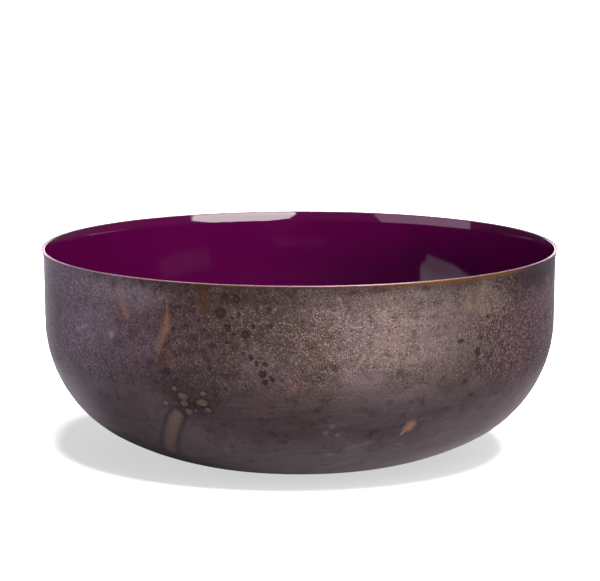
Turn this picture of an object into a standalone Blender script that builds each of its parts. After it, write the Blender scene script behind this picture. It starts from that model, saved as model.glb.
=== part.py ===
"""A deep spun-metal bowl: a thin patinated metal shell with a lining of fused enamel.

The bowl stands on its own small flat base. Z is its axis, and the origin is the centre of the
base's underside. Both pieces are turned: each is one closed profile swept round Z. All four
surfaces follow one curve, the outside of the shell, at four depths measured square to it.
"""

from math import acos, atan2, cos, pi, radians, sin

import bpy

# Driving dimensions, in metres.
HEIGHT = 0.125
RIM_RADIUS = 0.150
WALL_TOP_RADIUS = 0.1486  # outside, where the wall ends and the lip begins to turn out
LIP_HEIGHT = 0.007
BASE_RADIUS = 0.0355  # of the flat underside that the bowl stands on
FLOOR_CURVE_RADIUS = 0.154  # the broad, shallow curve round the base
FLOOR_CURVE_ANGLE = radians(28.5)  # how far that curve climbs before the shoulder takes over
WALL_LEAN = radians(0.85)  # how far the wall leans out from upright

SHELL_THICKNESS = 0.0010
LINING_THICKNESS = 0.0004
FIT_GAP = 0.0003  # between the shell and its lining
LINING_SETBACK = 0.0003  # how far the enamel stops below the bare metal edge

# Facets.
SEGMENTS_ROUND = 64
FLOOR_CURVE_STEPS = 4
SHOULDER_STEPS = 7
LIP_STEPS = 3

# Slopes of the outside curve, measured up from level.
WALL_SLOPE = pi / 2 - WALL_LEAN
LIP_TOP_SLOPE = 2 * atan2(LIP_HEIGHT, RIM_RADIUS - WALL_TOP_RADIUS) - WALL_SLOPE

# What the driving dimensions leave for the two tighter curves and the straight wall.
LIP_CURVE_RADIUS = LIP_HEIGHT / (cos(LIP_TOP_SLOPE) - cos(WALL_SLOPE))
FLOOR_CURVE_END = (
    BASE_RADIUS + FLOOR_CURVE_RADIUS * sin(FLOOR_CURVE_ANGLE),
    FLOOR_CURVE_RADIUS * (1 - cos(FLOOR_CURVE_ANGLE)),
)
WALL_SPREAD = cos(WALL_SLOPE) / sin(WALL_SLOPE)
SHOULDER_RADIUS = (
    WALL_TOP_RADIUS
    - FLOOR_CURVE_END[0]
    - WALL_SPREAD * (HEIGHT - LIP_HEIGHT - FLOOR_CURVE_END[1])
) / (
    sin(WALL_SLOPE)
    - sin(FLOOR_CURVE_ANGLE)
    - WALL_SPREAD * (cos(FLOOR_CURVE_ANGLE) - cos(WALL_SLOPE))
)


def between(first, last, steps):
    """The values after first, in even steps as far as last."""
    return [first + (last - first) * step / steps for step in range(1, steps + 1)]


def bowl_curve(depth, top):
    """Points (radius, height) from the axis out and up to the height top, lying depth inside
    the shell's outside curve, measured square to it."""

    def arc(centre, radius, slopes):
        return [(centre[0] + radius * sin(s), centre[1] - radius * cos(s)) for s in slopes]

    floor_centre = (BASE_RADIUS, FLOOR_CURVE_RADIUS)
    shoulder_centre = (
        FLOOR_CURVE_END[0] - SHOULDER_RADIUS * sin(FLOOR_CURVE_ANGLE),
        FLOOR_CURVE_END[1] + SHOULDER_RADIUS * cos(FLOOR_CURVE_ANGLE),
    )
    lip_centre = (
        WALL_TOP_RADIUS + LIP_CURVE_RADIUS * sin(WALL_SLOPE),
        HEIGHT - LIP_HEIGHT - LIP_CURVE_RADIUS * cos(WALL_SLOPE),
    )
    # The lip curves the other way, round a centre outside the bowl.
    lip_radius = -(LIP_CURVE_RADIUS + depth)
    top_slope = acos((top - lip_centre[1]) / -lip_radius)

    floor_slopes = [0.0] + between(0.0, FLOOR_CURVE_ANGLE, FLOOR_CURVE_STEPS)
    shoulder_slopes = between(FLOOR_CURVE_ANGLE, WALL_SLOPE, SHOULDER_STEPS)
    lip_slopes = [WALL_SLOPE] + between(WALL_SLOPE, top_slope, LIP_STEPS)
    return (
        [(0.0, depth)]
        + arc(floor_centre, FLOOR_CURVE_RADIUS - depth, floor_slopes)
        + arc(shoulder_centre, SHOULDER_RADIUS - depth, shoulder_slopes)
        + arc(lip_centre, lip_radius, lip_slopes)
    )


def turned(name, outside, inside, material, collection):
    """The solid between two curves, swept round Z. The profile climbs the inside from the axis
    and comes back down the outside to the axis."""
    profile = inside + outside[::-1]
    mesh = bpy.data.meshes.new(name)
    points = [(radius, 0.0, height) for radius, height in profile]
    edges = [(i, i + 1) for i in range(len(points) - 1)]
    mesh.from_pydata(points, edges, [])
    piece = bpy.data.objects.new(name, mesh)
    collection.objects.link(piece)

    screw = piece.modifiers.new("turn", "SCREW")
    screw.axis = "Z"
    screw.steps = SEGMENTS_ROUND
    screw.render_steps = SEGMENTS_ROUND
    screw.use_merge_vertices = True
    screw.merge_threshold = 0.00001
    screw.use_smooth_shade = True
    mesh.materials.append(material)
    return piece


def principled(name, color, roughness, metallic, coat=0.0):
    material = bpy.data.materials.new(name)
    material.use_nodes = True
    shader = material.node_tree.nodes["Principled BSDF"]
    shader.inputs["Base Color"].default_value = (*color, 1.0)
    shader.inputs["Roughness"].default_value = roughness
    shader.inputs["Metallic"].default_value = metallic
    shader.inputs["Coat Weight"].default_value = coat
    return material


def metal_shell(collection):
    """The spun sheet-metal bowl: its ground edge is level, and its outside is patinated."""
    patina = principled("patinated_metal", (0.085, 0.062, 0.058), 0.45, 0.8)
    outside = bowl_curve(0.0, HEIGHT)
    inside = bowl_curve(SHELL_THICKNESS, HEIGHT)
    return turned("metal_shell", outside, inside, patina, collection)


def enamel_lining(collection):
    """The layer of coloured enamel over the whole inside of the shell, up to the edge."""
    enamel = principled("purple_enamel", (0.105, 0.002, 0.045), 0.06, 0.0, coat=1.0)
    back = SHELL_THICKNESS + FIT_GAP
    top = HEIGHT - LINING_SETBACK
    outside = bowl_curve(back, top)
    inside = bowl_curve(back + LINING_THICKNESS, top)
    return turned("enamel_lining", outside, inside, enamel, collection)


def main():
    for obj in list(bpy.data.objects):
        bpy.data.objects.remove(obj)

    parts = bpy.data.collections.new("hair_color_bowl")
    bpy.context.scene.collection.children.link(parts)
    metal_shell(parts)
    enamel_lining(parts)


main()
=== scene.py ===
"""The looks of a deep spun-metal bowl with a lining of purple enamel.

Two finely turned pieces stand for the two CAD nodes: the patinated metal shell and the enamel.
Both follow the CAD's outside curve, at a depth measured square to it. All lengths are in metres,
apart from the shader nodes, which work in millimetres. An azimuth is measured in degrees round
the bowl, 0 at the front (-Y) and rising to the right, and "below" is the distance in
millimetres down from the rim, measured along the outside curve.
"""

from math import acos, atan2, cos, hypot, pi, radians, sin

import bpy
import numpy as np
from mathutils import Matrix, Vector

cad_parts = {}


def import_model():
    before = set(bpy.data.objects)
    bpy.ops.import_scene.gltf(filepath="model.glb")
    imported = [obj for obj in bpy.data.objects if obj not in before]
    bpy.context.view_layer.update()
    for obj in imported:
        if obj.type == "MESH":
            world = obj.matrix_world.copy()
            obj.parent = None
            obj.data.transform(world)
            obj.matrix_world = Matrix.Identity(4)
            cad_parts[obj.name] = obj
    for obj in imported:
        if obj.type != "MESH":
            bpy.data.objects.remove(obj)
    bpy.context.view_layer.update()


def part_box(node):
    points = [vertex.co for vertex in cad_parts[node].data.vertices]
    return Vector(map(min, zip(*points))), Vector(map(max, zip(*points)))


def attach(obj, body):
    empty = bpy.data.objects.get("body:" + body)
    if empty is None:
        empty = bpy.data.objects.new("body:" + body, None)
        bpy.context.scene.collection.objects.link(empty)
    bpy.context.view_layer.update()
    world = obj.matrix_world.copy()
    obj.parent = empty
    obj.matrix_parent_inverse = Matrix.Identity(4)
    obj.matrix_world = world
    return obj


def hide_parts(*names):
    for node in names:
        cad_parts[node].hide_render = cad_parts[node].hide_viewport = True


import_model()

# The outside curve, as the CAD draws it.
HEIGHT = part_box("metal_shell")[1].z
RIM_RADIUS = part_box("metal_shell")[1].x
WALL_TOP_RADIUS = 0.1486  # where the wall ends and the lip begins to turn out
LIP_HEIGHT = 0.007
BASE_RADIUS = 0.0355
FLOOR_CURVE_RADIUS = 0.154
FLOOR_CURVE_ANGLE = radians(28.5)
WALL_LEAN = radians(0.85)

SHELL_THICKNESS = 0.0010
EDGE_ROUND = 0.00025  # height of the rounding on the bare metal edge
ENAMEL_BACK = 0.00102  # the enamel is fused on, so it starts at the metal
ENAMEL_FACE = 0.0017
ENAMEL_SETBACK = 0.0003
ENAMEL_BEAD = 0.00035  # height of the round top of the enamel

SEGMENTS = 320
RING_STEP = 0.00115  # between rings that show, along the curve
HIDDEN_STEP = 0.008  # between rings on a face that nothing shows

# The relief on both pieces.
DENTS_START = 0.2  # share of the curve, from the axis, that has no dents
GROOVE_SWAY = 0.6  # how far a groove wanders over one turn, as an angle of its wave
RIM_CALM = 0.006  # length over which the relief fades out at the rim
BASE_CALM = 0.020  # and outside the flat base
SHELL_GROOVES = [(0.0031, 0.000010), (0.0052, 0.000012), (0.0113, 0.000020)]

# The map for baking, as discs (u, v, radius): the face that shows fills one,
# and the hidden one takes a small disc in the corner that is left.
SHOWN_DISC = (0.5, 0.5, 0.496)
HIDDEN_DISC = (0.915, 0.915, 0.08)

WALL_SLOPE = pi / 2 - WALL_LEAN
LIP_TOP_SLOPE = 2 * atan2(LIP_HEIGHT, RIM_RADIUS - WALL_TOP_RADIUS) - WALL_SLOPE
LIP_CURVE_RADIUS = LIP_HEIGHT / (cos(LIP_TOP_SLOPE) - cos(WALL_SLOPE))
FLOOR_CURVE_END = (
    BASE_RADIUS + FLOOR_CURVE_RADIUS * sin(FLOOR_CURVE_ANGLE),
    FLOOR_CURVE_RADIUS * (1 - cos(FLOOR_CURVE_ANGLE)),
)
WALL_SPREAD = cos(WALL_SLOPE) / sin(WALL_SLOPE)
SHOULDER_RADIUS = (
    WALL_TOP_RADIUS
    - FLOOR_CURVE_END[0]
    - WALL_SPREAD * (HEIGHT - LIP_HEIGHT - FLOOR_CURVE_END[1])
) / (
    sin(WALL_SLOPE)
    - sin(FLOOR_CURVE_ANGLE)
    - WALL_SPREAD * (cos(FLOOR_CURVE_ANGLE) - cos(WALL_SLOPE))
)


# ---------------------------------------------------------------- shape


def steps_between(first, last, length, step):
    """Values after first, in even steps as far as last, one for each step of the length."""
    count = max(2, round(abs(length) / step))
    return [first + (last - first) * i / count for i in range(1, count + 1)]


def bowl_curve(depth, top, step):
    """Points (radius, height) from the axis out and up to the height top, lying depth inside
    the outside curve, measured square to it."""

    def arc(centre, radius, first, last):
        slopes = steps_between(first, last, radius * (last - first), step)
        return [(centre[0] + radius * sin(s), centre[1] - radius * cos(s)) for s in slopes]

    shoulder_centre = (
        FLOOR_CURVE_END[0] - SHOULDER_RADIUS * sin(FLOOR_CURVE_ANGLE),
        FLOOR_CURVE_END[1] + SHOULDER_RADIUS * cos(FLOOR_CURVE_ANGLE),
    )
    lip_centre = (
        WALL_TOP_RADIUS + LIP_CURVE_RADIUS * sin(WALL_SLOPE),
        HEIGHT - LIP_HEIGHT - LIP_CURVE_RADIUS * cos(WALL_SLOPE),
    )
    lip_radius = -(LIP_CURVE_RADIUS + depth)
    top_slope = acos((top - lip_centre[1]) / -lip_radius)

    floor = [(0.0, depth)] + [
        (radius, depth) for radius in steps_between(0.0, BASE_RADIUS, BASE_RADIUS, step)
    ]
    floor_curve = arc(
        (BASE_RADIUS, FLOOR_CURVE_RADIUS), FLOOR_CURVE_RADIUS - depth, 0.0, FLOOR_CURVE_ANGLE
    )
    shoulder = arc(shoulder_centre, SHOULDER_RADIUS - depth, FLOOR_CURVE_ANGLE, WALL_SLOPE)
    lip = arc(lip_centre, lip_radius, WALL_SLOPE, top_slope)
    lip_start = (
        lip_centre[0] + lip_radius * sin(WALL_SLOPE),
        lip_centre[1] - lip_radius * cos(WALL_SLOPE),
    )
    wall_end = shoulder[-1]
    rise = lip_start[1] - wall_end[1]
    wall = [
        (wall_end[0] + (lip_start[0] - wall_end[0]) * t, wall_end[1] + rise * t)
        for t in steps_between(0.0, 1.0, rise, step)
    ]
    return floor + floor_curve + shoulder + wall + lip


def round_over(start, end, height, steps=8):
    """Points of a low arch from start to end, two points at one level, without the ends."""
    middle = (start[0] + end[0]) / 2
    half = (start[0] - end[0]) / 2
    turns = [pi * i / steps for i in range(1, steps)]
    return [(middle + half * cos(t), start[1] + height * sin(t)) for t in turns]


def run_lengths(points):
    """How far along the curve each point lies from its first point."""
    lengths = [0.0]
    for before, after in zip(points, points[1:]):
        lengths.append(lengths[-1] + hypot(after[0] - before[0], after[1] - before[1]))
    return lengths


OUTSIDE = bowl_curve(0.0, HEIGHT, 0.001)
OUTSIDE_RUN = run_lengths(OUTSIDE)


def on_outside(azimuth, below):
    """The point on the outside at that azimuth and distance below the rim, in millimetres."""
    along = OUTSIDE_RUN[-1] - below / 1000
    radius = 1000 * np.interp(along, OUTSIDE_RUN, [p[0] for p in OUTSIDE])
    height = 1000 * np.interp(along, OUTSIDE_RUN, [p[1] for p in OUTSIDE])
    angle = radians(azimuth)
    return Vector((radius * sin(angle), -radius * cos(angle), height))


def relief(seed, lengths, dents, dent_radius, dent_depth, grooves):
    """How far the surface stands out, for each ring and segment: shallow dents and faint grooves
    from the turning, both fading out towards the last ring and the flat base. A groove is a
    wavelength and a height."""
    random = np.random.default_rng(seed)
    along = np.array(lengths)[:, None]
    angle = (2 * pi * np.arange(SEGMENTS) / SEGMENTS)[None, :]
    out = np.zeros((len(lengths), SEGMENTS))
    around = np.minimum(along, RIM_RADIUS)  # near enough the radius of each ring
    for _ in range(dents):
        place = random.uniform(DENTS_START, 1.0) * lengths[-1]
        turn = random.uniform(0, 2 * pi)
        radius = random.uniform(*dent_radius)
        depth = random.uniform(*dent_depth)
        aside = np.angle(np.exp(1j * (angle - turn))) * around
        out -= depth * np.exp(-((along - place) ** 2 + aside**2) / radius**2)
    for wavelength, height in grooves:
        phase = random.uniform(0, 2 * pi)
        sway = GROOVE_SWAY * np.sin(angle + random.uniform(0, 2 * pi))
        out += height * np.sin(2 * pi * along / wavelength + phase + sway)
    to_rim = np.clip((lengths[-1] - along) / RIM_CALM, 0, 1)
    to_base = np.clip((along - BASE_RADIUS) / BASE_CALM, 0, 1)
    return out * (to_rim * to_base)


def turned(name, shown, hidden, stand_out, material):
    """A closed piece: the shown curve climbs from the axis, the hidden one leads from its end
    back to the axis, and both are swept round Z. stand_out is how far each shown point is
    lifted, square to the curve."""
    shown_run = run_lengths(shown)
    hidden_run = run_lengths([shown[-1]] + hidden)
    rings = shown + hidden[:-1]
    angles = 2 * pi * np.arange(SEGMENTS) / SEGMENTS
    across, up = np.sin(angles), -np.cos(angles)

    ring_points = np.array(rings[1:])
    slope = np.gradient(np.array(shown), axis=0)
    square = np.stack([slope[:, 1], -slope[:, 0]], 1)
    square /= np.linalg.norm(square, axis=1)[:, None]
    radius = np.repeat(ring_points[:, :1], SEGMENTS, 1)
    height = np.repeat(ring_points[:, 1:], SEGMENTS, 1)
    count = len(shown) - 1
    radius[:count] += stand_out[1:] * square[1:, :1]
    height[:count] += stand_out[1:] * square[1:, 1:]
    body = np.stack([radius * across, radius * up, height], -1).reshape(-1, 3)
    centre_first, centre_last = len(body), len(body) + 1
    points = np.vstack([body, [(0, 0, shown[0][1]), (0, 0, hidden[-1][1])]])

    def disc(place, share, segment):
        """The map's point in a disc, at that share of its radius and at that segment."""
        reach = place[2] * share
        angle = 2 * pi * segment / SEGMENTS
        return (place[0] + reach * sin(angle), place[1] + reach * cos(angle))

    faces, corners = [], []
    last_ring = len(rings) - 2
    for segment in range(SEGMENTS):
        following = (segment + 1) % SEGMENTS
        faces.append((centre_first, following, segment))
        share = shown_run[1] / shown_run[-1]
        corners += [disc(SHOWN_DISC, 0, 0)]
        corners += [disc(SHOWN_DISC, share, segment + 1), disc(SHOWN_DISC, share, segment)]
        start = last_ring * SEGMENTS
        faces.append((centre_last, start + segment, start + following))
        share = 1 - hidden_run[-2] / hidden_run[-1]
        corners += [disc(HIDDEN_DISC, 0, 0)]
        corners += [disc(HIDDEN_DISC, share, segment), disc(HIDDEN_DISC, share, segment + 1)]
    for ring in range(last_ring):
        if ring + 1 < count:
            place, low, high = SHOWN_DISC, shown_run[ring + 1], shown_run[ring + 2]
            low, high = low / shown_run[-1], high / shown_run[-1]
        else:
            place, low, high = (
                HIDDEN_DISC,
                1 - hidden_run[ring + 1 - count] / hidden_run[-1],
                1 - hidden_run[ring + 2 - count] / hidden_run[-1],
            )
        below, above = ring * SEGMENTS, (ring + 1) * SEGMENTS
        for segment in range(SEGMENTS):
            following = (segment + 1) % SEGMENTS
            faces.append((below + segment, below + following, above + following, above + segment))
            corners += [disc(place, low, segment), disc(place, low, segment + 1)]
            corners += [disc(place, high, segment + 1), disc(place, high, segment)]

    mesh = bpy.data.meshes.new(name)
    mesh.from_pydata(points.tolist(), [], faces)
    layer = mesh.uv_layers.new(name="OFBake")
    layer.data.foreach_set("uv", np.array(corners).ravel())
    mesh.shade_smooth()
    mesh.materials.append(material)
    piece = bpy.data.objects.new(name, mesh)
    bpy.context.scene.collection.objects.link(piece)
    return piece


# ---------------------------------------------------------------- shader nodes


class Nodes:
    """Short ways to add nodes to a node tree. A value or colour is a number, a tuple or
    another node's socket."""

    def __init__(self, tree):
        self.tree = tree

    def add(self, kind, sockets, **settings):
        node = self.tree.nodes.new(kind)
        for name, value in settings.items():
            setattr(node, name, value)
        for name, value in sockets.items():
            if isinstance(value, bpy.types.NodeSocket):
                self.tree.links.new(value, node.inputs[name])
            else:
                node.inputs[name].default_value = value
        return node

    def math(self, operation, *values, clamp=False):
        sockets = dict(enumerate(values))
        node = self.add("ShaderNodeMath", sockets, operation=operation, use_clamp=clamp)
        return node.outputs[0]

    def vector(self, operation, *values, scale=None):
        sockets = dict(enumerate(values))
        if scale is not None:
            sockets["Scale"] = scale
        node = self.add("ShaderNodeVectorMath", sockets, operation=operation)
        single = operation in ("LENGTH", "DISTANCE", "DOT_PRODUCT")
        return node.outputs["Value" if single else "Vector"]

    def parts(self, vector):
        return self.add("ShaderNodeSeparateXYZ", {0: vector}).outputs

    def times(self, *values):
        product = values[0]
        for value in values[1:]:
            product = self.math("MULTIPLY", product, value)
        return product

    def fade(self, value, zero_at, one_at, most=1.0):
        """Rises smoothly from 0 to most as the value goes from zero_at to one_at."""
        sockets = {"Value": value, "To Max": most}
        if zero_at < one_at:
            sockets.update({"From Min": zero_at, "From Max": one_at})
        else:
            sockets.update({"From Min": one_at, "From Max": zero_at})
            sockets.update({"To Min": most, "To Max": 0.0})
        node = self.add("ShaderNodeMapRange", sockets, interpolation_type="SMOOTHSTEP")
        return node.outputs["Result"]

    def mix(self, amount, first, second, blend="MIX"):
        """The first colour with that amount of the second over it."""
        first, second = (
            (*c, 1.0) if isinstance(c, tuple) and len(c) == 3 else c for c in (first, second)
        )
        sockets = {0: amount, 6: first, 7: second}
        node = self.add("ShaderNodeMix", sockets, data_type="RGBA", blend_type=blend)
        return node.outputs[2]


class Shader(Nodes):
    """The nodes of one material, which work in millimetres. place is a point of the bowl, with
    sideways and height its X and Z, and turn is the azimuth in radians."""

    def __init__(self, name):
        self.material = bpy.data.materials.new(name)
        self.material.use_nodes = True
        super().__init__(self.material.node_tree)
        self.surface = self.tree.nodes["Principled BSDF"]
        place = self.tree.nodes.new("ShaderNodeTexCoord").outputs["Object"]
        self.place = self.vector("SCALE", place, scale=1000.0)
        parts = self.parts(self.place)
        self.sideways, self.height = parts["X"], parts["Z"]
        self.turn = self.math("ARCTAN2", self.sideways, self.times(parts["Y"], -1.0))

    def noise(self, scale, detail=2.0, rough=0.5, place=None, colour=False):
        sockets = {"Vector": place or self.place, "Scale": scale}
        sockets.update({"Detail": detail, "Roughness": rough})
        return self.add("ShaderNodeTexNoise", sockets).outputs["Color" if colour else 0]

    def shifted(self, scale, reach):
        """The place, moved about at random so that what is drawn there gets a ragged outline."""
        wander = self.vector("SUBTRACT", self.noise(scale, 3, 0.6, colour=True), (0.5, 0.5, 0.5))
        return self.vector("ADD", self.place, self.vector("SCALE", wander, scale=reach))

    def front_half(self, place):
        """The place, turned half way round the bowl where it lies on the back half."""
        behind = self.math("GREATER_THAN", self.parts(place)["Y"], 0.0)
        sign = self.math("MULTIPLY_ADD", behind, -2.0, 1.0)
        signs = self.add("ShaderNodeCombineXYZ", {"X": sign, "Y": sign, "Z": 1.0}).outputs[0]
        return self.vector("MULTIPLY", place, signs)

    def crystals(self, scale, place):
        """A pattern of random cells: the distance to the closest cell's centre, and two random
        numbers for that cell."""
        node = self.add("ShaderNodeTexVoronoi", {"Vector": place, "Scale": scale})
        lots = self.parts(node.outputs["Color"])
        return node.outputs["Distance"], lots["X"], lots["Y"]

    def set(self, **inputs):
        """Sets sockets of the surface. An underscore stands for a space in a socket's name."""
        for name, value in inputs.items():
            socket = self.surface.inputs[name.replace("_", " ")]
            if isinstance(value, bpy.types.NodeSocket):
                self.tree.links.new(value, socket)
            else:
                socket.default_value = value


# ---------------------------------------------------------------- patinated metal

# Colours, linear. Dark ones, from the ground and the pits:
SOOT = (0.022, 0.015, 0.011)
UMBER = (0.030, 0.019, 0.015)
BROWN = (0.080, 0.052, 0.043)
AUBERGINE = (0.036, 0.016, 0.024)
MOSS = (0.034, 0.038, 0.026)
OLIVE = (0.105, 0.080, 0.048)
# Middling ones, from the broad tints:
TAUPE = (0.185, 0.135, 0.128)
VIOLET = (0.120, 0.084, 0.094)
SLATE = (0.150, 0.127, 0.162)
ROSE = (0.200, 0.095, 0.100)
MAUVE = (0.200, 0.098, 0.125)
DUSK = (0.265, 0.182, 0.215)
HAZE = (0.330, 0.240, 0.275)
FOG = (0.290, 0.268, 0.300)
TAN = (0.330, 0.225, 0.165)
LILAC = (0.300, 0.235, 0.280)
# Warm ones, from the heated and bare metal:
COCOA = (0.112, 0.050, 0.016)
RUST = (0.145, 0.058, 0.024)
GOLD = (0.280, 0.110, 0.020)
OCHRE = (0.380, 0.165, 0.065)
EMBER = (0.340, 0.165, 0.105)
AMBER = (0.780, 0.410, 0.240)
COPPER = (0.560, 0.370, 0.400)
# Pale ones, from the crystals, cells and spots:
ASH = (0.480, 0.390, 0.408)
PEARL = (0.520, 0.375, 0.350)
WISP = (0.460, 0.370, 0.420)
SAND = (0.500, 0.335, 0.265)
BLUSH = (0.400, 0.240, 0.235)
# What the patina's colour is multiplied by towards the right and the left:
WARM_FILTER = (0.90, 0.76, 0.90)
COOL_FILTER = (0.94, 0.88, 1.08)

# Heights in millimetres: the crystals come in between the first two, and painted shade darkens
# the foot from the third down to the fourth. EDGE_BARE is how far the bare metal comes down the
# edge.
GRAIN_STARTS, GRAIN_FULL = 52.0, 70.0
FOOT_SHADE_STARTS, FOOT_SHADE_DARKEST = 9.0, 2.0
EDGE_BARE = 0.55

# Broad tints: (azimuth, below, width, height, colour, strength), sizes in millimetres.
TINTS = [
    (-66, 32, 165, 130, SLATE, 0.95),
    # Partly patina and partly painted shade: darker brown left of the middle, where the wall
    # catches little of the key light.
    (-14, 20, 100, 72, BROWN, 0.80),
    # Partly patina and partly painted sheen: the next two lighten the wall where the key light
    # glances off it.
    (28, 38, 100, 80, TAUPE, 0.75),
    (6, 64, 130, 26, TAUPE, 0.80),
    (60, 45, 100, 90, ROSE, 0.65),
    (66, 48, 110, 100, MAUVE, 0.45),
    (6, 106, 340, 62, DUSK, 0.85),
    (-4, 62, 60, 24, ROSE, 0.35),
    (-34, 97, 90, 50, HAZE, 0.60),
    (-40, 72, 60, 24, HAZE, 0.35),
    (27, 69, 60, 16, HAZE, 0.45),
    (2, 116, 130, 30, HAZE, 0.50),
    (56, 112, 140, 78, HAZE, 0.95),
    (-71, 36, 46, 90, BROWN, 0.60),
    (-28, 38, 38, 18, UMBER, 0.45),
    # Painted shade: darker low on the left, the mirrored shadow of the table round the foot.
    (-50, 133, 90, 36, UMBER, 0.50),
    (20, 88, 40, 16, UMBER, 0.30),
    (73, 52, 80, 50, UMBER, 0.60),
    (-5, 94, 70, 30, BROWN, 0.25),
    (44, 17, 48, 26, TAN, 0.35),
    (26, 9, 60, 12, UMBER, 0.35),
    (22, 10, 45, 12, OLIVE, 0.30),
    (-46, 8, 90, 26, FOG, 0.50),
    (44, 28, 90, 10, ROSE, 0.25),
]
# More of them, which lie over the grain.
GLAZES = [
    (69, 4, 110, 26, AUBERGINE, 0.85),
    (62, 15, 60, 16, UMBER, 0.35),
    (-74, 40, 44, 110, UMBER, 0.30),
    (-63, 62, 50, 40, UMBER, 0.25),
    (-28, 13, 44, 14, UMBER, 0.25),
    (-8, 84, 120, 24, UMBER, 0.25),
    (20, 96, 80, 22, UMBER, 0.25),
    (40, 67, 36, 20, DUSK, 0.50),
    (14, 61, 44, 26, DUSK, 0.45),
    (45, 15, 56, 28, PEARL, 0.10),
    (-52, 32, 44, 30, FOG, 0.22),
    (-9, 47, 34, 26, HAZE, 0.20),
    (-32, 100, 50, 30, HAZE, 0.30),
    (-60, 92, 90, 36, HAZE, 0.22),
    (44, 14, 54, 30, TAN, 0.15),
    (52, 122, 190, 44, HAZE, 0.36),
]

# Marks on the front of the patina: (azimuth, below, width, height), sizes in millimetres. They
# are drawn once more on the back, half a turn round.
DARK_SPOTS = [
    (-17, 16, 6.6, 6.2),
    (-11.5, 28, 5, 5),
    (-8, 50, 5, 4.6),
    (-16, 7, 3.8, 3.8),
    (-13.5, 8.5, 4.4, 5.2),
    (-15.5, 24.5, 3.8, 4.6),
    (-14.3, 28, 2.4, 2.4),
    (-6.3, 23, 3.6, 3.2),
    (-7.4, 54.5, 3.6, 3.6),
    (-6, 52.5, 3.2, 3.2),
    (-10.4, 41, 3.2, 3.2),
    (-9.3, 44, 2.6, 3.8),
    (-7.4, 44, 3.6, 2.6),
    (-9, 14, 2.6, 2.4),
    (-6.4, 13.5, 3, 3),
    (-10, 23, 2.6, 2.6),
    (-13, 17, 2.2, 2.2),
    (-22, 21, 2.4, 2.4),
    (-20.7, 26, 2.4, 2.4),
    (-15.7, 32.4, 2.6, 2.6),
    (-12, 39, 2.4, 2.4),
    (-28, 27, 2.6, 2.6),
    (42, 43.5, 4, 5),
    (43, 35.6, 2.2, 2.2),
    (37, 36, 5, 2),
    (45, 24.5, 2.6, 2.6),
    (61, 35, 3, 3.6),
    (71, 33, 4, 7),
]
SOFT_SPOTS = [
    (42, 69, 5, 4),
    (-19, 35, 6.5, 6),
    (-23, 31, 6, 6),
    (-25, 25, 5, 6),
    (-21, 38, 6, 5),
    (-34, 47, 7, 6),
    (39, 60, 6, 5),
    (-30, 52, 9, 6),
    (50, 54, 5, 4),
    (-3.8, 53, 4, 4),
]
CELLS = [
    (-26.7, 65.5, 7.5, 5.3),
    (-26.7, 70.2, 6.2, 4.8),
    (-22.2, 69, 8.5, 5.3),
    (-25.9, 75.6, 5.8, 5.3),
    (-31.5, 71.4, 4.1, 4.1),
    (-28.4, 61.4, 3.4, 3.9),
    (-24, 74.5, 2.5, 2.5),
    (-21, 73.5, 4.6, 3.4),
    (-21.6, 63, 4.6, 3.4),
]
EMBERS = [
    (-2.3, 53, 3.4, 3.4),
    (-1.2, 58, 4.8, 4.4),
    (9.9, 20.7, 2, 3),
    (6.5, 24.5, 3, 4),
    (18, 16.6, 2.4, 3.4),
]
PALE_SPOTS = [
    (-45, 34.5, 6, 6),
    (-19.3, 106, 5.5, 4),
    (-28.6, 117, 6.5, 5),
    (-26.2, 116, 5, 4),
    (26.5, 102.5, 6, 3),
    (8, 109.5, 6, 5),
    (22.7, 126, 8, 4),
    (30, 133, 8, 5),
    (64, 80, 5, 5),
    (49, 112, 7, 4),
    (36, 117, 5, 3),
]
BLUSHES = [
    (7.7, 83.3, 4.2, 4.2),
    (6.2, 88.8, 4.2, 4.2),
    (9.2, 90.2, 4.4, 4.4),
]
RINGS = [(-30.2, 44, 11, 10)]
MOSSES = [(-44.0, 5.5, 8, 6)]

# Runs and streaks: a width in millimetres and the points (azimuth, below) that it joins.
DRIPS = [
    (6.4, [(-42.8, 8), (-41.4, 16), (-40.2, 22)]),
    (1.3, [(-29.4, 12), (-29.4, 20)]),
    (3.0, [(-29.4, 20), (-29.8, 26)]),
    (5.2, [(-30, 27), (-30.9, 33), (-32.0, 38)]),
    (1.8, [(14.0, 39.5), (11.8, 48)]),
]
BRIGHT_DRIPS = [
    (2.6, [(-41.4, 17), (-40.2, 23)]),
    (3.6, [(-29.4, 20), (-29.9, 27), (-30.6, 32)]),
    (1.4, [(8.2, 7), (9.4, 14)]),
]
STAINS = [(7.0, [(-21.4, 1), (-21.1, 8), (-20.8, 14)])]
RUN = [
    (10.0, [(-29.4, 79), (-31.4, 86), (-34.4, 97), (-37.3, 107), (-39.6, 115)]),
]
FLAMES = [
    (7.2, [(27.2, 85.5), (26.9, 87.5)]),
    (2.6, [(26.3, 88.5), (25.6, 93.0)]),
]
CREASES = [(0.9, [(-40.6, 108), (-38.4, 109.5), (-36.0, 108)])]
SMEARS = [
    (3.0, [(18.3, 97.5), (12.5, 103)]),
    (5.0, [(16, 119.5), (11.6, 127), (7.2, 134)]),
    (1.4, [(-37.2, 75), (-36.6, 81)]),
    (2.0, [(-58.5, 36.5), (-53.5, 32)]),
    (1.8, [(56, 97), (66, 84)]),
    (1.4, [(60, 104), (70, 92)]),
]


def nearest(s, place, marks):
    """How near the closest mark is: 0 at a mark's centre and 1 on its outline."""
    closest = None
    for azimuth, below, width, height in marks:
        centre = on_outside(azimuth, below)
        share = Vector((2 / width, 2 / width, 2 / height))
        start = Vector(-c * f for c, f in zip(centre, share))
        away = s.vector("LENGTH", s.vector("MULTIPLY_ADD", place, tuple(share), tuple(start)))
        closest = away if closest is None else s.math("MINIMUM", closest, away)
    return closest


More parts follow.
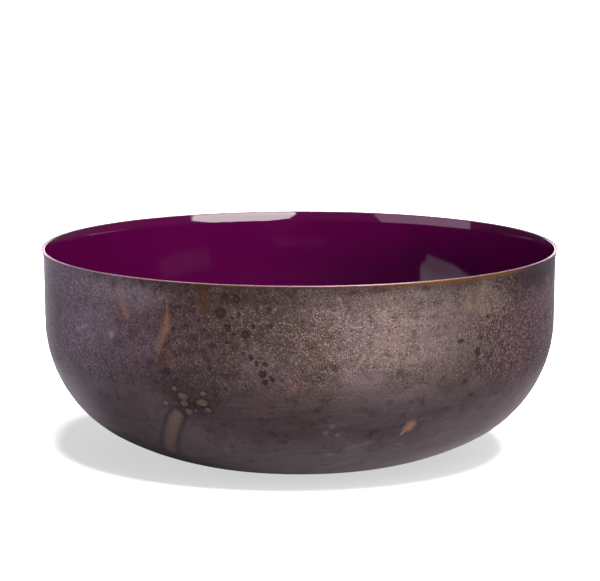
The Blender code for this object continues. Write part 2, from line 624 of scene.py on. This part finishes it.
def nearest_line(s, place, lines):
    """How near the closest line is: 0 on its middle and 1 on its outline."""
    closest = None
    for width, points in lines:
        ends = [on_outside(*point) for point in points]
        for start, end in zip(ends, ends[1:]):
            reach = end - start
            out = s.vector("SUBTRACT", place, tuple(start))
            ahead = s.vector("DOT_PRODUCT", out, tuple(reach))
            share = s.math("MULTIPLY", ahead, 1 / reach.length_squared, clamp=True)
            foot = s.vector("SCALE", tuple(reach), scale=share)
            away = s.math("MULTIPLY", s.vector("DISTANCE", out, foot), 2 / width)
            closest = away if closest is None else s.math("MINIMUM", closest, away)
    return closest


def ring_at(s, distance, width):
    """1 on a mark's outline, fading to 0 at width either side of it."""
    return s.fade(s.math("ABSOLUTE", s.math("SUBTRACT", distance, 1.0)), width, 0.0)


def laid(s, colour, place, tints):
    """The colour with broad soft patches over it."""
    for *patch, tint, strength in tints:
        reach = nearest(s, place, [patch])
        colour = s.mix(s.fade(reach, 1.15, 0.35, strength), colour, tint)
    return colour


def tinted(s, drifted, patches):
    """The patina's colour before its grain and marks; its broad tints hold some painted sheen and
    shade.
    """
    clouds = s.noise(0.03, 3, 0.55)
    colour = s.mix(s.fade(clouds, 0.38, 0.62), BROWN, VIOLET)
    colour = laid(s, colour, drifted, TINTS)
    colour = s.mix(s.fade(patches, 0.50, 0.70, 0.40), colour, TAUPE)
    return s.mix(s.fade(patches, 0.48, 0.30, 0.42), colour, UMBER)


def marked(s, colour, ragged, flowing, worn):
    """The colour with the placed marks over it, thinner where worn is low, and how near the
    closest dark spot is. ragged and flowing are the place, shifted at random so that marks get
    a rough outline or a smoothly drawn one."""

    def lay(colour, distance, zero_at, one_at, strength, tint):
        amount = s.times(s.fade(distance, zero_at, one_at, strength), worn)
        return s.mix(amount, colour, tint)

    colour = lay(colour, nearest_line(s, ragged, STAINS), 1.6, 0.0, 0.75, COCOA)
    colour = lay(colour, nearest(s, ragged, MOSSES), 1.4, 0.2, 0.7, MOSS)
    colour = lay(colour, nearest(s, ragged, SOFT_SPOTS), 1.3, 0.1, 0.75, UMBER)
    colour = lay(colour, nearest_line(s, flowing, DRIPS), 1.6, 0.0, 0.50, TAN)
    colour = lay(colour, nearest_line(s, flowing, BRIGHT_DRIPS), 1.7, 0.0, 0.50, OCHRE)
    rings = nearest(s, flowing, RINGS)
    colour = lay(colour, rings, 1.2, 0.4, 0.30, RUST)
    ring = ring_at(s, rings, 0.30)
    colour = s.mix(s.times(ring, worn, 0.25), colour, OCHRE)

    spots = nearest(s, ragged, DARK_SPOTS)
    colour = s.mix(s.fade(spots, 1.25, 0.70, 0.88), colour, SOOT)
    colour = s.mix(s.fade(spots, 0.9, 0.0, 0.55), colour, RUST)

    cells = nearest(s, flowing, CELLS)
    run = nearest_line(s, flowing, RUN)
    outline = ring_at(s, s.math("MINIMUM", cells, run), 0.5)
    colour = s.mix(s.times(outline, worn, 0.5), colour, SOOT)
    colour = lay(colour, cells, 1.10, 0.50, 0.60, SAND)
    colour = lay(colour, run, 1.05, 0.1, 0.80, SAND)
    colour = lay(colour, nearest_line(s, flowing, CREASES), 1.8, 0.3, 0.60, SOOT)

    colour = lay(colour, nearest(s, ragged, PALE_SPOTS), 1.3, 0.1, 0.55, PEARL)
    colour = lay(colour, nearest_line(s, ragged, SMEARS), 1.8, 0.0, 0.42, WISP)
    colour = lay(colour, nearest(s, flowing, BLUSHES), 1.3, 0.2, 0.95, BLUSH)
    colour = lay(colour, nearest(s, flowing, EMBERS), 1.3, 0.2, 0.7, EMBER)
    flames = nearest_line(s, flowing, FLAMES)
    colour = s.mix(s.fade(flames, 1.35, 0.0, 0.82), colour, AMBER)
    return colour, spots


def rim_heat_and_shadow(s, colour, patches):
    """The colour with a heat band under the rim, golden at the right and rusty at the middle,
    and at the middle a band of painted shadow below it."""
    top = 1000 * HEIGHT
    wavy = s.math("ADD", s.height, s.math("MULTIPLY_ADD", patches, 5.0, -2.5))  # 2.5 mm each way
    middle = s.times(s.fade(s.turn, -0.55, -0.25), s.fade(s.turn, 0.50, 0.15))
    # Painted shadow: a dark band below the heat band, at the middle.
    dark = s.fade(s.math("ABSOLUTE", s.math("SUBTRACT", wavy, top - 8.5)), 6.0, 2.0)
    colour = s.mix(s.times(dark, middle, 0.45), colour, UMBER)
    right = s.times(s.fade(s.turn, 0.20, 0.50), s.fade(s.turn, 1.25, 0.85))
    strength = s.math("MULTIPLY_ADD", middle, 0.35, 0.15)
    strength = s.math("MULTIPLY_ADD", right, 0.55, strength)
    # The band breaks off for a short way at the far right.
    unbroken = s.fade(s.math("ABSOLUTE", s.math("SUBTRACT", s.turn, 1.22)), 0.12, 0.28)
    band = s.times(s.fade(wavy, top - 4.0, top - 1.2), strength, unbroken)
    return s.mix(band, colour, s.mix(right, RUST, GOLD))


def patina():
    """Oxidised metal: tinted ground, crystals and pits, placed marks, and a bare copper edge,
    with some painted sheen and shade in its colour.
    """
    s = Shader("patinated_metal")
    ragged = s.shifted(0.4, 3.0)
    patches = s.noise(0.07, 4, 0.6)
    blotches = s.noise(0.17, 3, 0.6)

    # Crystalline on the wall, down to a wandering line, and smooth below.
    level = s.math("ADD", s.height, s.math("MULTIPLY_ADD", patches, 30.0, -15.0))
    rough_zone = s.fade(level, GRAIN_STARTS, GRAIN_FULL)
    smooth_zone = s.math("SUBTRACT", 1.0, rough_zone)
    drifted = s.shifted(0.06, 30.0)
    colour = tinted(s, drifted, blotches)

    # Faint bands from the turning, low down.
    streaks = s.noise(0.4, 3, 0.5, place=s.vector("MULTIPLY", s.place, (0.12, 0.12, 1.0)))
    colour = s.mix(s.times(s.fade(streaks, 0.52, 0.25), smooth_zone, 0.20), colour, UMBER)
    colour = s.mix(s.times(s.fade(streaks, 0.50, 0.72), smooth_zone, 0.25), colour, LILAC)

    # Pale crystals, dark pits between them, and scattered round specks.
    grain = s.noise(1.3, 3, 0.7)
    away, first_lot, second_lot = s.crystals(0.95, s.shifted(1.3, 0.35))
    fleck = s.mix(second_lot, ASH, PEARL)
    salt = s.times(s.fade(away, 0.60, 0.15), s.fade(first_lot, 0.20, 0.90))
    light = s.math("MAXIMUM", salt, s.fade(grain, 0.52, 0.70, 0.7))
    light = s.times(light, rough_zone, s.fade(blotches, 0.25, 0.50))
    pepper = s.times(s.fade(away, 0.65, 0.25), s.fade(second_lot, 0.60, 0.85))
    pits = s.math("MAXIMUM", pepper, s.fade(s.noise(0.5, 3, 0.65), 0.45, 0.30))
    pits = s.times(pits, rough_zone)
    away, first_lot, second_lot = s.crystals(0.28, ragged)
    size = s.fade(first_lot, 0.0, 1.0, 0.5)
    specks = s.fade(s.math("SUBTRACT", away, size), 0.02, -0.16)
    specks = s.times(specks, s.fade(second_lot, 0.72, 0.78), s.fade(patches, 0.50, 0.62))
    colour = s.mix(s.times(light, 0.49), colour, fleck)
    colour = s.mix(s.times(pits, 0.66), colour, UMBER)
    colour = s.mix(s.times(specks, rough_zone, 0.55), colour, SOOT)

    # Coarser grain and a tint of its own towards each side, most of all at the right.
    coarse = s.noise(0.75, 3, 0.75)
    left_side = s.fade(s.sideways, -84, -125, 0.6)
    sides = s.math("MAXIMUM", s.fade(s.sideways, 77, 120), left_side)
    sides = s.times(sides, rough_zone)
    colour = s.mix(s.times(s.fade(coarse, 0.52, 0.60), sides, 0.48), colour, fleck)
    colour = s.mix(s.times(s.fade(coarse, 0.52, 0.43), sides, 0.80), colour, UMBER)

    fine = s.times(s.fade(grain, 0.40, 0.65), smooth_zone, 0.14)
    colour = s.mix(fine, colour, ASH)
    colour = laid(s, colour, drifted, GLAZES)
    warm = s.times(s.fade(s.sideways, 106, 138), rough_zone)
    colour = s.mix(warm, colour, WARM_FILTER, "MULTIPLY")
    cool = s.times(s.fade(s.sideways, -120, -141), rough_zone)
    colour = s.mix(cool, colour, COOL_FILTER, "MULTIPLY")

    # Painted shade at the foot, for the table's shadow that it mirrors, heat colours and a band
    # of painted shadow at the rim, and bare metal on the edge.
    colour = s.mix(s.fade(s.height, FOOT_SHADE_STARTS, FOOT_SHADE_DARKEST, 0.35), colour, SOOT)
    colour = rim_heat_and_shadow(s, colour, patches)
    worn = s.fade(grain, 0.30, 0.55)
    flowing = s.front_half(s.shifted(0.15, 2.5))
    colour, spots = marked(s, colour, s.front_half(ragged), flowing, worn)
    edge = s.fade(s.height, 1000 * HEIGHT - EDGE_BARE, 1000 * HEIGHT - 0.2)
    colour = s.mix(edge, colour, COPPER)

    # Crystals stand up, and pits and spots are eaten in.
    raised = s.math("MULTIPLY_ADD", light, 0.6, s.times(grain, rough_zone))
    raised = s.math("MULTIPLY_ADD", pits, -0.7, raised)
    raised = s.math("MULTIPLY_ADD", s.fade(spots, 1.1, 0.6), -0.8, raised)
    bump = s.add("ShaderNodeBump", {"Height": raised, "Strength": 0.5, "Distance": 0.00025})
    rough = s.math("MULTIPLY_ADD", rough_zone, 0.10, 0.33)
    rough = s.math("MULTIPLY_ADD", grain, 0.10, rough)
    rough = s.math("MULTIPLY_ADD", edge, -0.2, rough)
    s.set(
        Base_Color=colour,
        Metallic=0.85,
        Roughness=rough,
        Normal=bump.outputs["Normal"],
    )
    return s.material


# ---------------------------------------------------------------- enamel

PURPLE = (0.066, 0.0009, 0.038)
PLUM = (0.074, 0.0010, 0.043)
SHADED_PURPLE = (0.030, 0.0007, 0.023)
ENAMEL_SHADE_PATCH = [(136, 50, 270, 120)]  # painted shade: the back right of the inside, darker where the lamps light it least


def enamel():
    """Glossy purple enamel with a slow ripple, and painted shade at the back right."""
    s = Shader("purple_enamel")
    colour = s.mix(s.fade(s.noise(0.02, 3, 0.5), 0.35, 0.65), PURPLE, PLUM)
    shaded = nearest(s, s.shifted(0.03, 40.0), ENAMEL_SHADE_PATCH)
    colour = s.mix(s.fade(shaded, 1.15, 0.2), colour, SHADED_PURPLE)
    ripple = s.math("ADD", s.noise(0.12, 2, 0.4), s.times(s.noise(0.5, 2, 0.5), 0.06))
    bump = s.add("ShaderNodeBump", {"Height": ripple, "Strength": 0.35, "Distance": 0.0002})
    s.set(
        Base_Color=colour,
        Roughness=s.math("MULTIPLY_ADD", s.noise(0.05, 2, 0.5), 0.05, 0.02),
        IOR=1.5,
        Coat_Weight=0.5,
        Coat_Roughness=0.03,
        Normal=bump.outputs["Normal"],
    )
    return s.material


# ---------------------------------------------------------------- pieces


def metal_shell():
    """The patinated shell with its rounded bare edge. Its inside is hidden by the enamel."""
    top = HEIGHT - EDGE_ROUND
    outside = bowl_curve(0.0, top, RING_STEP)
    inside = bowl_curve(SHELL_THICKNESS, top, HIDDEN_STEP)
    shown = outside + round_over(outside[-1], inside[-1], EDGE_ROUND) + [inside[-1]]
    lift = relief(
        seed=5,
        lengths=run_lengths(shown),
        dents=70,
        dent_radius=(0.007, 0.022),
        dent_depth=(-0.00003, 0.00012),
        grooves=SHELL_GROOVES,
    )
    piece = turned("metal_shell_fine", shown, inside[-2::-1], lift, patina())
    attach(piece, "root")
    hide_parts("metal_shell")


def enamel_lining():
    """The enamel on the inside of the shell, with a round bead at its top."""
    top = HEIGHT - ENAMEL_SETBACK - ENAMEL_BEAD
    face = bowl_curve(ENAMEL_FACE, top, RING_STEP)
    back = bowl_curve(ENAMEL_BACK, top, HIDDEN_STEP)
    shown = face + round_over(face[-1], back[-1], ENAMEL_BEAD) + [back[-1]]
    lift = relief(
        seed=8,
        lengths=run_lengths(shown),
        dents=40,
        dent_radius=(0.015, 0.040),
        dent_depth=(-0.00006, 0.00006),
        grooves=[],
    )
    piece = turned("enamel_lining_fine", shown, back[-2::-1], lift, enamel())
    # The shown curve lies inside the hidden one here, so the sweep turns every face inwards.
    piece.data.flip_normals()
    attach(piece, "root")
    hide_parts("enamel_lining")


# ---------------------------------------------------------------- studio

AIM = Vector((0, 0, 0.060))
CAMERA_DISTANCE = 2.4
CAMERA_RISE = radians(9.9)  # the camera's height above the aim, as an angle at the aim
CAMERA_PITCH = radians(8.984)  # how far its axis dips; less, so the bowl sits low in the frame
CAMERA_YAW = radians(0.006)
LENS = 246.6


def direction(azimuth, rise):
    """Unit vector from the bowl towards that azimuth and that many degrees above level."""
    a, e = radians(azimuth), radians(rise)
    return Vector((sin(a) * cos(e), -cos(a) * cos(e), sin(e)))


def camera():
    """The camera that looks down on the bowl from the front, by about 10 degrees."""
    data = bpy.data.cameras.new("camera")
    data.lens = LENS
    data.clip_end = 100
    eye = bpy.data.objects.new("camera", data)
    eye.location = AIM + CAMERA_DISTANCE * Vector((0, -cos(CAMERA_RISE), sin(CAMERA_RISE)))
    eye.rotation_euler = (pi / 2 - CAMERA_PITCH, 0, -CAMERA_YAW)
    bpy.context.scene.collection.objects.link(eye)
    bpy.context.scene.camera = eye


def faces_bowl(box, azimuth, rise, distance):
    """Puts a lamp where it faces the bowl and hides it from the camera."""
    towards = direction(azimuth, rise)
    box.location = AIM + distance * towards
    box.rotation_euler = towards.to_track_quat("Z", "Y").to_euler()
    box.visible_camera = False
    bpy.context.scene.collection.objects.link(box)


def softbox(name, azimuth, rise, distance, width, height, radiance, colour):
    """A softbox that faces the bowl."""
    light = bpy.data.lights.new(name, "AREA")
    light.shape = "RECTANGLE"
    light.size, light.size_y = width, height
    light.energy = radiance * pi * width * height
    light.color = colour
    faces_bowl(bpy.data.objects.new(name, light), azimuth, rise, distance)


def empty_material(name):
    """A new material without a surface, and a way to add nodes to it."""
    material = bpy.data.materials.new(name)
    material.use_nodes = True
    material.node_tree.nodes.clear()
    return material, Nodes(material.node_tree)


def octabox(name, azimuth, rise, distance, width, height, radiance, top_radiance, colour):
    """An eight-sided softbox that faces the bowl. Its lamp sits high in it, so its top is
    brighter."""
    turn = pi / 8
    corners = [turn + pi / 4 * i for i in range(8)]
    reach = cos(turn)
    points = [(width / 2 * cos(a) / reach, height / 2 * sin(a) / reach, 0) for a in corners]
    mesh = bpy.data.meshes.new(name)
    mesh.from_pydata(points, [], [tuple(range(8))])
    material, n = empty_material(name)
    across = n.add("ShaderNodeTexCoord", {}).outputs["Object"]
    lift = n.fade(n.parts(across)["Y"], 0.0, height / 3)
    strength = n.math("MULTIPLY_ADD", lift, top_radiance - radiance, radiance)
    glow = n.add("ShaderNodeEmission", {"Color": (*colour, 1), "Strength": strength})
    n.add("ShaderNodeOutputMaterial", {"Surface": glow.outputs["Emission"]})
    mesh.materials.append(material)
    box = bpy.data.objects.new(name, mesh)
    faces_bowl(box, azimuth, rise, distance)
    box.visible_shadow = False


def sun(name, azimuth, rise, energy, spread):
    """A far lamp. spread is its width as seen from the bowl, in degrees."""
    light = bpy.data.lights.new(name, "SUN")
    light.energy = energy
    light.angle = radians(spread)
    lamp = bpy.data.objects.new(name, light)
    lamp.rotation_euler = direction(azimuth, rise).to_track_quat("Z", "Y").to_euler()
    bpy.context.scene.collection.objects.link(lamp)
    return lamp


def floor():
    """The white table, and the shadow on it."""
    bpy.ops.mesh.primitive_circle_add(vertices=96, radius=30, fill_type="NGON")
    ground = bpy.context.object
    ground.name = "floor"
    material = bpy.data.materials.new("pale_floor")
    material.use_nodes = True
    shader = material.node_tree.nodes["Principled BSDF"]
    shader.inputs["Base Color"].default_value = (0.19, 0.19, 0.19, 1)
    shader.inputs["Roughness"].default_value = 0.9
    shader.inputs["Specular IOR Level"].default_value = 0.0
    shader.inputs["Emission Color"].default_value = (1, 1, 1, 1)
    shader.inputs["Emission Strength"].default_value = 0.59
    ground.data.materials.append(material)
    # The bowl mirrors a dim studio below it, and not the white of the floor.
    ground.visible_glossy = False
    ground.visible_diffuse = False

    # A lamp of its own throws the bowl's shadow on the floor, and lights nothing else.
    lamp = sun("shadow_lamp", azimuth=16, rise=57, energy=60, spread=26)
    lit = bpy.data.collections.new("lit_by_shadow_lamp")
    lit.objects.link(ground)
    lamp.light_linking.receiver_collection = lit


def shadowed_table():
    """The dark patch of table round the bowl's foot, which only mirrors on the bowl."""
    bpy.ops.mesh.primitive_circle_add(vertices=64, radius=0.12, fill_type="NGON")
    patch = bpy.context.object
    patch.name = "shadowed_table"
    patch.location = (-0.05, 0.01, -0.0002)
    material, n = empty_material("shadowed_table")
    out = n.vector("LENGTH", n.add("ShaderNodeTexCoord", {}).outputs["Object"])
    dark = n.add("ShaderNodeEmission", {"Color": (0.05, 0.045, 0.05, 1)}).outputs[0]
    clear = n.add("ShaderNodeBsdfTransparent", {}).outputs[0]
    cover = n.add("ShaderNodeMixShader", {0: n.fade(out, 0.112, 0.05), 1: clear, 2: dark})
    n.add("ShaderNodeOutputMaterial", {"Surface": cover.outputs[0]})
    patch.data.materials.append(material)
    patch.visible_camera = False
    patch.visible_diffuse = False
    patch.visible_shadow = False


def world():
    """White where the camera looks. The bowl mirrors a dark studio with a pale ceiling above it,
    a grey table below it, low pale walls behind it to the left and right, and a white backdrop
    right behind it."""
    sky = bpy.data.worlds.new("studio")
    bpy.context.scene.world = sky
    sky.use_nodes = True
    n = Nodes(sky.node_tree)
    way = n.parts(n.add("ShaderNodeTexCoord", {}).outputs["Generated"])
    rise = n.math("MULTIPLY_ADD", way["Z"], 0.5, 0.5)
    ramp = n.add("ShaderNodeValToRGB", {"Fac": rise}).color_ramp
    stops = [(0.0, 0.26), (0.2, 0.17), (0.35, 0.26), (0.46, 0.33), (0.51, 0.06), (1.0, 0.10)]
    while len(ramp.elements) < len(stops):
        ramp.elements.new(0.5)
    for element, (place, grey) in zip(ramp.elements, stops):
        element.position = place
        element.color = (grey, grey, grey, 1)
    studio = n.tree.nodes["Color Ramp"].outputs["Color"]

    brighter_right = n.math("MULTIPLY_ADD", n.fade(way["X"], -0.4, 0.4), 0.8, 0.6)
    behind = n.fade(way["Y"], -0.1, 0.45)
    studio = n.mix(behind, studio, n.vector("SCALE", studio, scale=brighter_right))

    either_side = n.math("MAXIMUM", n.times(way["X"], 2.0), n.times(way["X"], -1.0))
    aside = n.fade(either_side, 0.08, 0.35)
    foot = n.math("SUBTRACT", way["Z"], n.fade(way["X"], 0.15, 0.50, 0.12))
    low = n.times(n.fade(foot, -0.62, -0.35), n.fade(way["Z"], 0.03, -0.04))
    dim_right = n.math("MULTIPLY_ADD", n.fade(way["X"], 0.30, 0.60), -0.42, 1.0)
    walls = n.times(aside, behind, low, dim_right)
    studio = n.mix(walls, studio, (0.85, 0.79, 0.88))

    level = n.times(n.fade(way["Z"], -0.30, -0.20), n.fade(way["Z"], 0.20, 0.10))
    wider_left = n.math("MULTIPLY_ADD", way["X"], -0.14, way["Y"])
    right_behind = n.math("MAXIMUM", wider_left, way["Y"])
    backdrop = n.times(n.fade(right_behind, 0.925, 0.98), level)
    studio = n.mix(backdrop, studio, (2.1, 1.95, 2.15))
    ceiling = n.fade(way["Z"], 0.55, 0.95)
    studio = n.mix(ceiling, studio, (0.9, 0.9, 0.9))
    camera_sees = n.add("ShaderNodeLightPath", {}).outputs["Is Camera Ray"]
    seen = n.mix(camera_sees, studio, (1.0, 1.0, 1.0))
    n.tree.links.new(seen, n.tree.nodes["Background"].inputs["Color"])


metal_shell()
enamel_lining()
camera()
floor()
shadowed_table()
world()
octabox(
    "key_light",
    azimuth=29,
    rise=22,
    distance=1.5,
    width=1.35,
    height=1.2,
    radiance=8.0,
    top_radiance=14.0,
    colour=(1.0, 0.95, 0.93),
)
softbox(
    "left_light",
    azimuth=-65,
    rise=17,
    distance=1.5,
    width=1.4,
    height=0.95,
    radiance=1.7,
    colour=(1.0, 0.72, 0.97),
)
softbox(
    "rim_light",
    azimuth=180,
    rise=6,
    distance=2.5,
    width=2.2,
    height=1.0,
    radiance=1.3,
    colour=(1.0, 0.95, 1.0),
)
bpy.context.scene.view_settings.view_transform = "Standard"
